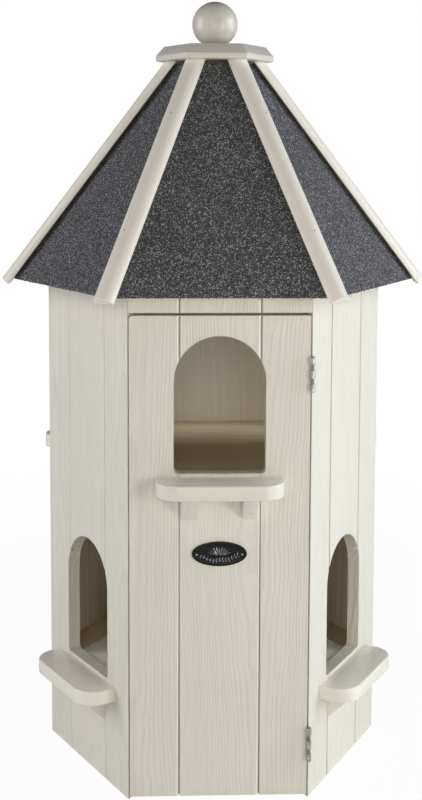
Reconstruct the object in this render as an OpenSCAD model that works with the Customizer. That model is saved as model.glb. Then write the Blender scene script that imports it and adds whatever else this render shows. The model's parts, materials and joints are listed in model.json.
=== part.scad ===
// Hexagonal garden dovecote: six boarded walls, a hinged front door, two floors,
// six arched entrances with perches, and a steep felted roof with hip battens,
// a cap and a ball finial.
// Millimetres, +Z up. The origin is the centre of the body's footprint on the
// ground, and the door faces -Y.

/* [Body] */
// Length of one side of the hexagonal body, outside corner to outside corner
body_side = 212; // [200:1:230]
// Thickness of the wall boards
wall_t = 16; // [14:1:18]
// Width that the middle board of each wall shows, between its two V-grooves
middle_board_w = 94; // [84:1:104]
// Width of a V-groove at the face of the boards
groove_w = 5; // [3:0.5:6]
// Depth of a V-groove
groove_d = 3; // [2:0.5:4]

/* [Entrances] */
// Width of an arched entrance
arch_w = 106; // [90:1:110]
// Height of an arched entrance, sill to crown
arch_h = 160; // [150:1:165]
// Radius of an entrance's two bottom corners
arch_corner_r = 5; // [3:1:8]
// Height of the upper sills, in the door and in two of the back walls
upper_sill_z = 391; // [385:1:400]
// Height of the lower sills, in the front-left, front-right and back walls
lower_sill_z = 128; // [124:1:135]

/* [Door] */
// Height of the door's top edge
door_top_z = 575; // [570:1:580]
// Clearance under the door
door_foot_gap = 3; // [2:0.5:5]
// Gap between the door and the header above it
door_head_gap = 3; // [2:0.5:4]
// Gap between each mitred edge of the door and the wall beside it
door_side_gap = 2.5; // [2.5:0.1:3]

/* [Hinges] */
// Height of the middle of the upper hinge
upper_hinge_z = 507; // [480:1:520]
// Height of the middle of the lower hinge
lower_hinge_z = 66; // [50:1:90]
// Height of a hinge leaf
hinge_h = 41; // [36:1:44]
// Diameter of the hinge knuckles
knuckle_d = 6; // [5:0.1:6]
// Diameter of the hinge pin
hinge_pin_d = 3; // [2.4:0.1:3]
// Reach of a hinge leaf into the joint, from the pin
leaf_w = 17; // [12:0.5:18]
// Thickness of a hinge leaf
leaf_t = 1; // [0.8:0.1:1]

/* [Floors] */
// Height of the upper floor's top face
upper_floor_z = 378; // [372:1:384]
// Height of the lower floor's top face
lower_floor_z = 123; // [100:1:125]
// Thickness of a floor
floor_t = 12; // [9:1:15]
// Room between the floors and the back of the door
floor_door_gap = 6; // [5:1:10]

/* [Perches] */
// Width of a perch along the wall
perch_w = 147; // [130:1:155]
// Depth of a perch, out from the wall
perch_d = 42; // [36:1:48]
// Thickness of a perch
perch_t = 17.5; // [15:0.5:20]
// Radius of a perch's two outer corners
perch_corner_r = 27; // [15:1:32]
// Drop from a sill to the perch under it
perch_drop = 4; // [2:1:8]
// Length of both legs of a bracket, down the wall and out under the perch
bracket_leg = 33; // [28:1:36]
// Thickness of a bracket
bracket_t = 18; // [14:1:20]
// Distance between the middles of a perch's two brackets
bracket_pitch = 70; // [56:1:80]

/* [Roof] */
// Distance from the axis to a corner of the felt's lower edge
eave_r = 256; // [250:1:264]
// Height of the felt's lower edge
eave_z = 600; // [596:1:606]
// Slope of the hips above the horizontal
hip_slope = 52.9; // [51:0.1:54]
// Thickness of the roofing felt
felt_t = 2.5; // [2:0.1:3]
// Distance that the felt runs on past the roof boards
felt_overhang = 5; // [3:1:8]
// Thickness of the roof boards
roof_board_t = 9; // [8:1:12]
// Width of the flat underside of a hip batten
batten_w = 27; // [24:0.5:29]
// Height of a hip batten, underside to crown
batten_crown = 11.6; // [10:0.2:12]
// Distance that a hip batten runs on past the felt, along the hip
batten_overhang = 8.5; // [5:0.5:12]

/* [Cap and finial] */
// Distance from the axis to a corner of the cap
cap_r = 75; // [73:1:80]
// Height of the cap's underside
cap_z = 874; // [868:1:876]
// Height of the cap's upright edge
cap_edge_h = 7.5; // [6:0.5:9]
// Height of the cap's sloped top edge
cap_bevel_h = 11.5; // [9:0.5:13]
// Distance that the sloped top edge runs in, at a corner
cap_bevel_w = 11; // [8:1:14]
// Diameter of the ball
ball_d = 57; // [50:1:60]
// Depth that the ball's flattened foot takes off it
ball_foot = 0.8; // [0.5:0.1:2]

/* [Plaque] */
// Width of the oval plaque
plaque_w = 64; // [56:1:70]
// Height of the oval plaque
plaque_h = 29; // [24:1:34]
// Thickness of the oval plaque
plaque_t = 2.5; // [1.5:0.5:3]
// Height of the plaque's middle
plaque_z = 296.5; // [290:0.5:306]

/* [Hidden] */
$fn = 64;

// Faces of the hexagon, counted anticlockwise seen from above
FACES = ["front", "front_right", "back_right", "back", "back_left", "front_left"];
// Hips of the roof: hip i stands at the corner between faces i and i + 1
HIPS = ["front_right", "right", "back_right", "back_left", "left", "front_left"];
FRONT = 0;
WALL_NODES = [for (i = [1:5]) str(FACES[i], "_wall")];
ROOF_NODES = [for (i = [0:5]) str(FACES[i], "_roof_board")];
FELT_NODES = [for (i = [0:5]) str(FACES[i], "_felt")];
BATTEN_NODES = [for (i = [0:5]) str(HIPS[i], "_batten")];
PERCH_NODES = [for (i = [0:5]) str(i == FRONT ? "door" : FACES[i], "_perch")];
BRACKET_NODES = [for (i = [0:5]) str(i == FRONT ? "door" : FACES[i], "_brackets")];

PAINT = "#e2decf";
FLOOR_PAINT = "#cfcab8";
FELT = "#3f3f43";
PLY = "#b9a27c";
STEEL = "#b4b4b4";
PEWTER = "#3a3a3c";

// Distance from the axis to the middle of a face of the body
apothem = body_side * cos(30);
inner_apothem = apothem - wall_t;
// Shortening of a wall's inner face at each mitred end
mitre_run = wall_t * tan(30);
header_z = door_top_z + door_head_gap;
groove_x = middle_board_w / 2;
arch_r = arch_w / 2;
// Faces with even numbers have their entrance at the upper floor
function sill_z(i) = i % 2 == 0 ? upper_sill_z : lower_sill_z;
function perch_top_z(i) = sill_z(i) - perch_drop;

// The hips' lines meet on the axis at apex_z
apex_z = eave_z + eave_r * tan(hip_slope);
roof_slope = atan(tan(hip_slope) / cos(30));
// Length of the felt down the middle of a face, from the apex
felt_run = eave_r * cos(30) / cos(roof_slope);
// The panels stop this far under the cap
panel_top_gap = 2;
// Adhesive between the felt and the boards
felt_bed = 0.1;
panel_top_run = (apex_z - cap_z + panel_top_gap) / sin(roof_slope);
roof_t = felt_t + felt_bed + roof_board_t;
cap_top_z = cap_z + cap_edge_h + cap_bevel_h;
ball_r = ball_d / 2;
ball_z = cap_top_z + ball_r - ball_foot;
// More than the height or the width of the whole object
far = 1200;
// Overshoot of a cutter past the face that it cuts
eps = 1;

// The pin stands this far out from the body's corner
pin_out = knuckle_d / 2;
knuckle_h = hinge_h / 3;
knuckle_play = 0.3;
// Radial clearance of the pin in the door's knuckle
pin_play = 0.05;

// Turns what is built at the front face to face i
module at_face(i) {
    rotate([0, 0, 60 * i]) children();
}

// Extrudes an outline drawn in (y, z) along x, centred on x = 0
module along_x(length) {
    rotate([90, 0, 90]) linear_extrude(length, center = true) children();
}

// Extrudes an outline drawn in (x, z) through the front wall and past both faces
module through_front(depth) {
    translate([0, -apothem + depth + eps, 0])
        rotate([90, 0, 0]) linear_extrude(depth + 2 * eps) children();
}

// Height of the roof boards' underside at distance rho out from the axis, along a face
function roof_underside_z(rho) = apex_z - roof_t / cos(roof_slope) - rho * tan(roof_slope);

// Point (y, z) of the front roof face: run down the slope from the apex, depth under the felt's top
function roof_point(run, depth) = [
    -(run * cos(roof_slope) - depth * sin(roof_slope)),
    apex_z - run * sin(roof_slope) - depth * cos(roof_slope)
];

// Arched outline with its sill on z = 0
module arch_outline() {
    corner_x = arch_r - arch_corner_r;
    translate([0, arch_h - arch_r]) circle(arch_r);
    translate([-arch_r, arch_corner_r]) square([arch_w, arch_h - arch_r - arch_corner_r]);
    translate([-corner_x, 0]) square([2 * corner_x, arch_corner_r]);
    for (side = [-1, 1]) translate([side * corner_x, arch_corner_r]) circle(arch_corner_r);
}

// Cutter for an entrance whose sill is at z
module entrance_cut(z) {
    translate([0, 0, z]) through_front(wall_t) arch_outline();
}

// The two upright V-grooves between the three boards of the front wall
module groove_cut() {
    for (side = [-1, 1]) translate([side * groove_x, -apothem, -eps])
        linear_extrude(far) polygon([
            [-groove_w / 2, 0], [-groove_w / 2, -eps],
            [groove_w / 2, -eps], [groove_w / 2, 0], [0, groove_d]
        ]);
}

// Front wall from height z0 up to the roof boards, mitred at both ends
module wall_blank(z0) {
    half = body_side / 2;
    intersection() {
        linear_extrude(far) polygon([
            [-half, -apothem], [half, -apothem],
            [half - mitre_run, -inner_apothem], [-half + mitre_run, -inner_apothem]
        ]);
        along_x(body_side) polygon([
            [-apothem, z0], [-inner_apothem, z0],
            [-inner_apothem, roof_underside_z(inner_apothem)],
            [-apothem, roof_underside_z(apothem)]
        ]);
    }
}

module wall(i) {
    color(PAINT) at_face(i) difference() {
        wall_blank(0);
        groove_cut();
        entrance_cut(sill_z(i));
    }
}

module front_header() {
    color(PAINT) difference() {
        wall_blank(header_z);
        groove_cut();
    }
}

module door_panel() {
    // Mitred edges set back from the walls' mitres by the side gap
    half = body_side / 2 - door_side_gap / cos(30);
    color(PAINT) difference() {
        translate([0, 0, door_foot_gap]) linear_extrude(door_top_z - door_foot_gap) polygon([
            [-half, -apothem], [half, -apothem],
            [half - mitre_run, -inner_apothem], [-half + mitre_run, -inner_apothem]
        ]);
        groove_cut();
        entrance_cut(sill_z(FRONT));
    }
}

// Hexagonal floor between the walls, short of the door
module floor_plate(top_z) {
    hexagon_r = inner_apothem / cos(30);
    color(FLOOR_PAINT) translate([0, 0, top_z - floor_t]) difference() {
        linear_extrude(floor_t) circle(hexagon_r, $fn = 6);
        translate([-far / 2, -inner_apothem - far + floor_door_gap, -eps])
            cube([far, far, floor_t + 2 * eps]);
    }
}

module lower_floor() {
    floor_plate(lower_floor_z);
}

module upper_floor() {
    floor_plate(upper_floor_z);
}

// Outline of a perch: straight against the wall, rounded at its two outer corners
module perch_outline() {
    corner_x = perch_w / 2 - perch_corner_r;
    translate([-perch_w / 2, -perch_d + perch_corner_r])
        square([perch_w, perch_d - perch_corner_r]);
    translate([-corner_x, -perch_d]) square([2 * corner_x, perch_corner_r]);
    intersection() {
        translate([-perch_w / 2, -perch_d]) square([perch_w, perch_d]);
        for (side = [-1, 1])
            translate([side * corner_x, -perch_d + perch_corner_r]) circle(perch_corner_r);
    }
}

module perch(i) {
    color(PAINT) at_face(i) translate([0, -apothem, perch_top_z(i) - perch_t])
        linear_extrude(perch_t) perch_outline();
}

// The two triangular brackets under a perch
module brackets(i) {
    under_z = perch_top_z(i) - perch_t;
    color(PAINT) at_face(i) for (side = [-1, 1])
        translate([side * bracket_pitch / 2, -apothem, under_z]) along_x(bracket_t)
            polygon([[0, 0], [0, -bracket_leg], [-bracket_leg, 0]]);
}

// One layer of the front roof face, cut along the hips
module roof_layer(top_depth, bottom_depth, run) {
    intersection() {
        along_x(far) polygon([
            roof_point(panel_top_run, top_depth), roof_point(run, top_depth),
            roof_point(run, bottom_depth), roof_point(panel_top_run, bottom_depth)
        ]);
        linear_extrude(far) polygon([[0, 0], [-far * tan(30), -far], [far * tan(30), -far]]);
    }
}

module felt(i) {
    color(FELT) at_face(i) roof_layer(0, felt_t, felt_run);
}

module roof_board(i) {
    color(PLY) at_face(i) roof_layer(felt_t + felt_bed, roof_t, felt_run - felt_overhang);
}

// Half-round section, flat side on y = 0
module batten_outline() {
    round_r = (batten_w * batten_w / 4 + batten_crown * batten_crown) / (2 * batten_crown);
    intersection() {
        translate([0, batten_crown - round_r]) circle(round_r);
        translate([-batten_w, 0]) square([2 * batten_w, batten_w]);
    }
}

module batten(i) {
    hip_run = eave_r / cos(hip_slope) + batten_overhang;
    color(PAINT) rotate([0, 0, 60 * i - 60]) difference() {
        translate([0, 0, apex_z]) rotate([0, 90 + hip_slope, 0]) rotate([0, 0, 90])
            linear_extrude(hip_run) batten_outline();
        translate([-far / 2, -far / 2, cap_z]) cube(far);
    }
}

// Hexagonal plate with a sloped top edge, built from three crossed bars
module roof_cap() {
    half = cap_r * cos(30);
    top_half = (cap_r - cap_bevel_w) * cos(30);
    color(PAINT) intersection_for(i = [0:2]) rotate([0, 0, 60 * i]) along_x(far) polygon([
        [-half, cap_z], [half, cap_z], [half, cap_z + cap_edge_h], [top_half, cap_top_z],
        [-top_half, cap_top_z], [-half, cap_z + cap_edge_h]
    ]);
}

module ball_finial() {
    color(PAINT) difference() {
        translate([0, 0, ball_z]) sphere(ball_r);
        translate([-ball_d, -ball_d, cap_top_z - ball_d]) cube([2 * ball_d, 2 * ball_d, ball_d]);
    }
}

// Oval plaque on the door, its outline a 60-sided ellipse
module door_plaque() {
    oval_steps = 60;
    oval = [for (k = [0:oval_steps - 1]) let (turn = 360 * k / oval_steps)
        [plaque_w / 2 * cos(turn), plaque_h / 2 * sin(turn)]];
    color(PEWTER) translate([0, -apothem, plaque_z])
        rotate([90, 0, 0]) linear_extrude(plaque_t) polygon(oval);
}

// Hinge frame: origin on the pin, +x into the joint, +y towards the front-right wall
module at_pin(z) {
    rotate([0, 0, -60]) translate([body_side + pin_out, -door_side_gap / 2, z])
        rotate([0, 0, 180]) mirror([0, 1, 0]) children();
}

// Leaf on one side of the joint: side 1 against the wall, -1 against the door
module leaf_plate(side) {
    face_y = side * (door_side_gap / 2 - leaf_t / 2);
    reach = leaf_w - pin_out - leaf_t / 2;
    translate([leaf_w - reach / 2, face_y, 0]) cube([reach, leaf_t, hinge_h], center = true);
}

// Tongue that joins the leaf to a knuckle of height h at height z
module leaf_tongue(side, z, h) {
    face_y = side * (door_side_gap / 2 - leaf_t / 2);
    translate([leaf_w / 4, face_y, z]) cube([leaf_w / 2, leaf_t, h], center = true);
}

// Frame leaf: its two end knuckles hold the pin
module frame_leaf() {
    end_h = knuckle_h - knuckle_play / 2;
    leaf_plate(1);
    for (side = [-1, 1]) {
        end_z = side * (hinge_h - end_h) / 2;
        leaf_tongue(1, end_z, end_h);
        translate([0, 0, end_z]) cylinder(h = end_h, d = knuckle_d, center = true);
    }
    cylinder(h = hinge_h, d = hinge_pin_d, center = true);
}

// Door leaf: its middle knuckle turns on the pin
module door_leaf() {
    middle_h = knuckle_h - knuckle_play;
    difference() {
        union() {
            leaf_plate(-1);
            leaf_tongue(-1, 0, middle_h);
            cylinder(h = middle_h, d = knuckle_d, center = true);
        }
        cylinder(h = middle_h + 2 * eps, r = hinge_pin_d / 2 + pin_play, center = true);
    }
}

module hinge_frame_leaves() {
    color(STEEL) for (z = [lower_hinge_z, upper_hinge_z]) at_pin(z) frame_leaf();
}

module hinge_door_leaves() {
    color(STEEL) for (z = [lower_hinge_z, upper_hinge_z]) at_pin(z) door_leaf();
}

front_header();
door_panel();
lower_floor();
upper_floor();
for (i = [1:5]) wall(i);
for (i = [0:5]) perch(i);
for (i = [0:5]) brackets(i);
for (i = [0:5]) roof_board(i);
for (i = [0:5]) felt(i);
for (i = [0:5]) batten(i);
roof_cap();
ball_finial();
door_plaque();
hinge_frame_leaves();
hinge_door_leaves();
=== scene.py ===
import json
import math
import random

import bmesh
import bpy
from mathutils import Matrix, Vector, noise


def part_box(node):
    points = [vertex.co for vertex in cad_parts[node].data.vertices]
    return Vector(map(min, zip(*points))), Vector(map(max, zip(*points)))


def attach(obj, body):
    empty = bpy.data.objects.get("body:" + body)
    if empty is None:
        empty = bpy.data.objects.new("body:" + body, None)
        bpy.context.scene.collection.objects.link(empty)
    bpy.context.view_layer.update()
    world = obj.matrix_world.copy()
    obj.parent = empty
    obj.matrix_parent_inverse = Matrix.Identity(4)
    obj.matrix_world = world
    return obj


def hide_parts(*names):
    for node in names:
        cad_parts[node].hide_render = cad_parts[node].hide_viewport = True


# The looks of a hexagonal dovecote: painted boards with V-joints, a roof of
# granulated felt under half-round battens, butt hinges and an oval plaque.
# Everything is in metres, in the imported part's own frame: +Z up, door facing -Y.

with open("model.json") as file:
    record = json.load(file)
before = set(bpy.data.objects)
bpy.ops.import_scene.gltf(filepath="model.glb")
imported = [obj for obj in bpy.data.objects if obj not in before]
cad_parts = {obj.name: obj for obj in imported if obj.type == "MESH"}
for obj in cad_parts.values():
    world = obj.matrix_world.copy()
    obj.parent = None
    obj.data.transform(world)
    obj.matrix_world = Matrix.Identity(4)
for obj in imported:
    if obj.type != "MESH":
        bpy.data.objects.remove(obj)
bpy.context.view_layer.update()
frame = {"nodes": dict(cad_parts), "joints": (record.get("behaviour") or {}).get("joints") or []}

MM = 0.001
FACES = ["front", "front_right", "back_right", "back", "back_left", "front_left"]
HIPS = ["front_right", "right", "back_right", "back_left", "left", "front_left"]
TAN30 = math.tan(math.radians(30))
COS30 = math.cos(math.radians(30))

# ---------------- sizes from the frame

wall_lo, wall_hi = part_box("back_wall")
SIDE = wall_hi.x - wall_lo.x
APOTHEM = wall_hi.y
WALL_T = wall_hi.y - wall_lo.y
door_lo, door_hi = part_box("door_panel")
HEADER_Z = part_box("front_header")[0].z
cap_lo, cap_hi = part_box("roof_cap")
ball_lo, ball_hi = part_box("ball_finial")
plaque_lo, plaque_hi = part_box("door_plaque")
leaves_lo, leaves_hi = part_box("hinge_door_leaves")
felt_lo, felt_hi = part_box("front_felt")
PIN = Vector(frame["joints"][0]["pos_m"])
UPPER_FLOOR_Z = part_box("upper_floor")[1].z

# Boards: half the middle board. Each joint has a wide bevel on its left and a narrow one on its
# right, with an open seam between them that ends at the tongue.
GROOVE_X = 47 * MM
LEFT_BEVEL = 2.45 * MM
LEFT_SEAM = 0.5 * MM
RIGHT_BEVEL = 1.7 * MM
RIGHT_SEAM = 1.2 * MM
BEVEL_D = 0.85 * MM
SEAM_D = 5 * MM
# Entrances
ARCH_R = 53 * MM
ARCH_H = 160 * MM
ARCH_CORNER = 5 * MM
PERCH_DROP = 4 * MM
# Roof: slope of the hips, and thickness of the felt
HIP_SLOPE = math.radians(52.9)
ROOF_SLOPE = math.atan(math.tan(HIP_SLOPE) / COS30)
FELT_T = 2.5 * MM
EAVE_R = felt_hi.x - felt_lo.x
EAVE_Z = felt_lo.z + FELT_T * math.cos(ROOF_SLOPE)
APEX_Z = EAVE_Z + EAVE_R * math.tan(HIP_SLOPE)
# Distances down the slope from the apex to the felt's lower and upper edges
FELT_RUN = EAVE_R * COS30 / math.cos(ROOF_SLOPE)
FELT_TOP_RUN = (APEX_Z - felt_hi.z) / math.sin(ROOF_SLOPE)
BATTEN_W = 27 * MM
BATTEN_CROWN = 11.6 * MM
BATTEN_OVERHANG = 8.5 * MM
# Shares of a batten's run at which it is nailed
BATTEN_NAILS = (0.40, 0.79)
BATTEN_NAIL_R = 0.9 * MM
# Perches and brackets
PERCH_CORNER_R = 27 * MM
PERCH_EDGE_R = 1.6 * MM
BRACKET_T = 18 * MM
BRACKET_EDGE_R = 1.0 * MM
BRACKET_NAIL_R = 0.8 * MM
# Hinges
HINGE_H = 41 * MM
KNUCKLE_R = 3 * MM
LEAF_W = 17 * MM
LEAF_T = 1 * MM


def sill_z(i):
    """Height of face i's sill, from the perch under it."""
    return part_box(under_entrance(i, "perch"))[1].z + PERCH_DROP


def under_entrance(i, kind):
    """Name of face i's perch or brackets."""
    return ("door" if i == 0 else FACES[i]) + "_" + kind


def body_of_face(i):
    return "door" if i == 0 else "house"


def face_matrix(i):
    """Places local x along face i, y into the wall from its outer face, z up."""
    return Matrix.Rotation(math.radians(60 * i), 4, "Z") @ Matrix.Translation((0, -APOTHEM, 0))


def axes_matrix(x, y, z, origin):
    """Places local x, y and z along these axes, from an origin."""
    matrix = Matrix((x, y, z)).transposed().to_4x4()
    matrix.translation = origin
    return matrix


# ---------------- mesh building


def new_object(name, data):
    """An object in the scene."""
    thing = bpy.data.objects.new(name, data)
    bpy.context.scene.collection.objects.link(thing)
    return thing


class Piece:
    """Collects closed solids into one mesh, with grain coordinates and a tone for the shaders."""

    def __init__(self, name):
        self.name = name
        self.verts = []
        self.grain = []
        self.tone = []
        self.faces = []
        self.mats = []
        self.flat = []

    def add(self, points, faces, mats, place, grain, tone, flat=None):
        base = len(self.verts)
        for p in points:
            self.verts.append(place @ p)
            self.grain.append(grain(p))
            self.tone.append(tone)
        self.faces += [[base + k for k in f] for f in faces]
        self.mats += mats
        self.flat += flat or [False] * len(faces)

    def add_rings(self, rings, place, grain, tone=0.0, side_mat=lambda r, k: 0, cap_mats=(0, 0)):
        """A stack of rings of equal length, joined by quads and closed by a flat face at each end."""
        n = len(rings[0])
        points = [p for ring in rings for p in ring]
        faces, mats = [], []
        for r in range(len(rings) - 1):
            for k in range(n):
                k2 = (k + 1) % n
                faces.append([r * n + k, r * n + k2, (r + 1) * n + k2, (r + 1) * n + k])
                mats.append(side_mat(r, k))
        flat = [False] * len(faces) + [True, True]
        last = (len(rings) - 1) * n
        faces += [list(range(n)), [last + k for k in range(n)]]
        mats += cap_mats
        self.add(points, faces, mats, place, grain, tone, flat)

    def finish(self, materials, body, slot, node, sharp=35):
        """Makes the object that rides on a body in place of a CAD node."""
        mesh = bpy.data.meshes.new(self.name)
        mesh.from_pydata([tuple(v) for v in self.verts], [], self.faces)
        bm = bmesh.new()
        bm.from_mesh(mesh)
        bmesh.ops.recalc_face_normals(bm, faces=bm.faces)
        bm.to_mesh(mesh)
        bm.free()
        for m in materials:
            mesh.materials.append(m)
        mesh.polygons.foreach_set("material_index", self.mats)
        mesh.polygons.foreach_set("use_smooth", [not f for f in self.flat])
        mesh.set_sharp_from_angle(angle=math.radians(sharp))
        grain = mesh.attributes.new("grain", "FLOAT_VECTOR", "POINT")
        grain.data.foreach_set("vector", [c for g in self.grain for c in g])
        tone = mesh.attributes.new("tone", "FLOAT", "POINT")
        tone.data.foreach_set("value", self.tone)
        piece = new_object(self.name, mesh)
        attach(piece, body)
        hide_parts(node)


def wood_grain(rng, along="z"):
    """Maps local points to a board's own grain: z along it, the pith off to one side."""
    shift = Vector((rng.choice((-1, 1)) * rng.uniform(20, 110) * MM,
                    rng.choice((-1, 1)) * rng.uniform(30, 80) * MM, rng.uniform(0, 9)))
    lean = rng.uniform(-0.05, 0.05)
    order = {"x": (2, 1, 0), "z": (0, 1, 2)}[along]

    def grain(p):
        across, depth, length = (p[k] for k in order)
        return Vector((across + lean * length, depth, length)) + shift

    return grain


def arc(cx, cz, r, start, end, steps):
    """Points on an arc from start to end degrees, both ends included."""
    angles = [math.radians(start + (end - start) * k / steps) for k in range(steps + 1)]
    return [(cx + r * math.cos(t), cz + r * math.sin(t)) for t in angles]


def turns(count):
    """Angles that share out a full turn."""
    return [math.tau * k / count for k in range(count)]


def round_ring(radius, z, around):
    """A circle of points about the z axis."""
    return [Vector((radius * math.cos(t), radius * math.sin(t), z)) for t in turns(around)]


def offset_outline(points, insets):
    """An anticlockwise outline with edge k, from point k to k + 1, moved inwards by insets[k]."""
    n = len(points)
    moved = []
    for k in range(n):
        before, here, after = Vector(points[k - 1]), Vector(points[k]), Vector(points[(k + 1) % n])
        e1 = (here - before).normalized()
        e2 = (after - here).normalized()
        n1, n2 = Vector((-e1.y, e1.x)), Vector((-e2.y, e2.x))
        a, b = insets[k - 1], insets[k]
        cross = n1.x * n2.y - n1.y * n2.x
        if abs(cross) < 1e-3:
            moved.append(here + (n1 * a + n2 * b) / 2)
        else:
            moved.append(here + Vector((a * n2.y - b * n1.y, b * n1.x - a * n2.x)) / cross)
    return moved


def rounding(depth, radius):
    """How far a rounded edge is set back at a depth under the face."""
    if depth >= radius:
        return 0.0
    return radius - math.sqrt(radius * radius - (radius - depth) ** 2)


# ---------------- boards

EDGE_R = 0.8 * MM
INNER_R = 0.5 * MM
MITRE_PLAY = 0.12 * MM
# Length of groove filled with paint under each sill
FILLED_H = 4 * MM
# The door's boards reach this far past the CAD panel, to leave the thin gaps that show
DOOR_FREE_EDGE = 1.7 * MM
DOOR_HINGE_EDGE = 1.6 * MM
BOARD_LEVELS = [0, 0.25 * EDGE_R, EDGE_R, BEVEL_D, SEAM_D, SEAM_D + 0.1 * MM,
                WALL_T - INNER_R, WALL_T - 0.25 * INNER_R, WALL_T]
SEAM_LEVEL = BOARD_LEVELS.index(BEVEL_D)
CORNER_STEPS = 5
# Degrees between faces that shade as an edge on the boards
BOARD_SHARP = 20
# Points on the arcs of an entrance
CROWN_STEPS = 24
SHOULDER_STEPS = 6
SILL_CORNER_STEPS = 5
DOOR_CORNER_R = 4 * MM
# Material slots of every board
# The fifth slot holds a painted highlight on the left bevel of each groove
PAINT_SLOT, REVEAL_SLOT, LINING_SLOT, SEAM_SLOT, HIGHLIGHT_SLOT, SILL_SLOT = range(6)


def round_corner(ring, k, radius):
    """The ring with its right-angled corner k swapped for an arc."""
    corner = ring[k]
    before = (ring[k - 1] - corner).normalized()
    after = (ring[(k + 1) % len(ring)] - corner).normalized()
    centre = corner + (before + after) * radius
    angles = [math.pi / 2 * step / CORNER_STEPS for step in range(CORNER_STEPS + 1)]
    eased = [centre - after * radius * math.cos(t) - before * radius * math.sin(t) for t in angles]
    return ring[:k] + eased + ring[k + 1:]


def board_inset(kind, depth):
    """How far an edge of a board is set back from its outline at a depth under the outer face."""
    if kind in ("seam_left", "seam_right"):
        bevel, seam = (LEFT_BEVEL, LEFT_SEAM) if kind == "seam_left" else (RIGHT_BEVEL, RIGHT_SEAM)
        if depth <= BEVEL_D:
            return bevel + (seam - bevel) * depth / BEVEL_D
        return seam if depth <= SEAM_D else 0.0
    if kind == "mitre":
        return depth * TAN30 + MITRE_PLAY + rounding(depth, EDGE_R) * 0.6
    if kind == "roof":
        return -depth * math.tan(ROOF_SLOPE) + MITRE_PLAY
    if kind == "foot":
        return rounding(depth, EDGE_R * 0.5)
    if kind == "filled":
        return 0.0
    return rounding(depth, EDGE_R) + rounding(WALL_T - depth, INNER_R)


def edge_slot(kind, level):
    """Material slot of a board's edge, at a level of BOARD_LEVELS."""
    if kind == "seam_left":
        # A groove's left bevel takes the painted highlight
        return SEAM_SLOT if level >= SEAM_LEVEL else HIGHLIGHT_SLOT
    return {"arch": REVEAL_SLOT, "mitre": REVEAL_SLOT, "sill": SILL_SLOT}.get(kind, PAINT_SLOT)


def add_board(piece, outline, place, rng, tone, corner_r=0.0):
    """outline lists (x, z, kind of the edge that starts there), anticlockwise seen from outside.

    corner_r rounds the upper left corner.
    """
    points = [(x, z) for x, z, _ in outline]
    kinds = [kind for _, _, kind in outline]
    corner = min(range(len(points)), key=lambda k: points[k][0] - points[k][1])
    rings = []
    for depth in BOARD_LEVELS:
        ring = offset_outline(points, [board_inset(kind, depth) for kind in kinds])
        if corner_r:
            ring = round_corner(ring, corner, corner_r)
        rings.append([Vector((p.x, depth, p.y)) for p in ring])
    if corner_r:
        kinds[corner:corner] = ["plain"] * CORNER_STEPS
    piece.add_rings(rings, place, wood_grain(rng), tone,
                    lambda level, edge: edge_slot(kinds[edge], level), (PAINT_SLOT, LINING_SLOT))


def mirrored(outline):
    """The same board on the other side, where its joint is the left-hand part of the seam."""
    n = len(outline)
    flipped = []
    for k in range(n):
        x, z, _ = outline[n - 1 - k]
        kind = outline[(n - 2 - k) % n][2]
        flipped.append((-x, z, "seam_left" if kind == "seam_right" else kind))
    return flipped


def arch_centre_and_shoulder(sill):
    """Height of the arch's centre, and the angle at which it crosses the middle board's edge."""
    return sill + ARCH_H - ARCH_R, math.degrees(math.acos(GROOVE_X / ARCH_R))


def side_board(x_out, z0, z1, top_kind, sill=None):
    """Board to the right of the middle one, with its bite of the entrance if there is a sill."""
    foot_kind = "foot" if top_kind == "roof" and z0 < HEADER_Z / 2 else "plain"
    outline = [(GROOVE_X, z0, foot_kind), (x_out, z0, "mitre"), (x_out, z1, top_kind),
               (GROOVE_X, z1, "seam_right")]
    if sill is not None:
        centre_z, shoulder = arch_centre_and_shoulder(sill)
        bite = arc(0, centre_z, ARCH_R, shoulder, 0, SHOULDER_STEPS)
        bite += arc(ARCH_R - ARCH_CORNER, sill + ARCH_CORNER, ARCH_CORNER, 0, -90, SILL_CORNER_STEPS)
        outline += [(x, z, "arch") for x, z in bite]
        outline[-1] = (*outline[-1][:2], "sill")
        # Paint fills the short groove between the entrance and the perch
        outline.append((GROOVE_X, sill, "filled"))
        outline.append((GROOVE_X, sill - FILLED_H, "seam_right"))
    return outline


def add_boards(piece, i, halves, z0, z1, top_kind, seed, sill=None, corner_r=0.0):
    """The three boards of face i; halves are the left and right half widths of the face."""
    place = face_matrix(i)
    rng = random.Random(seed)
    right = side_board(halves[1], z0, z1, top_kind, sill)
    left = mirrored(side_board(halves[0], z0, z1, top_kind, sill))
    foot_kind = right[0][2]
    add_board(piece, left, place, rng, rng.uniform(-1, 1), corner_r)
    add_board(piece, right, place, rng, rng.uniform(-1, 1))
    tone, grain_seed = rng.uniform(-1, 1), rng.random()
    if sill is None:
        middle = [(-GROOVE_X, z0, foot_kind), (GROOVE_X, z0, "seam_left"),
                  (GROOVE_X, z1, top_kind), (-GROOVE_X, z1, "seam_right")]
        add_board(piece, middle, place, random.Random(grain_seed), tone)
        return
    lower = [(-GROOVE_X, z0, foot_kind), (GROOVE_X, z0, "seam_left"),
             (GROOVE_X, sill - FILLED_H, "filled"), (GROOVE_X, sill, "sill"),
             (-GROOVE_X, sill, "filled"), (-GROOVE_X, sill - FILLED_H, "seam_right")]
    centre_z, shoulder = arch_centre_and_shoulder(sill)
    crown = [(x, z, "arch") for x, z in
             arc(0, centre_z, ARCH_R, 180 - shoulder, shoulder, CROWN_STEPS)]
    crown[-1] = (*crown[-1][:2], "seam_left")
    upper = crown + [(GROOVE_X, z1, top_kind), (-GROOVE_X, z1, "seam_right")]
    # Both lengths are cut from one board, so they share its grain
    add_board(piece, lower, place, random.Random(grain_seed), tone)
    add_board(piece, upper, place, random.Random(grain_seed), tone)


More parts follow.
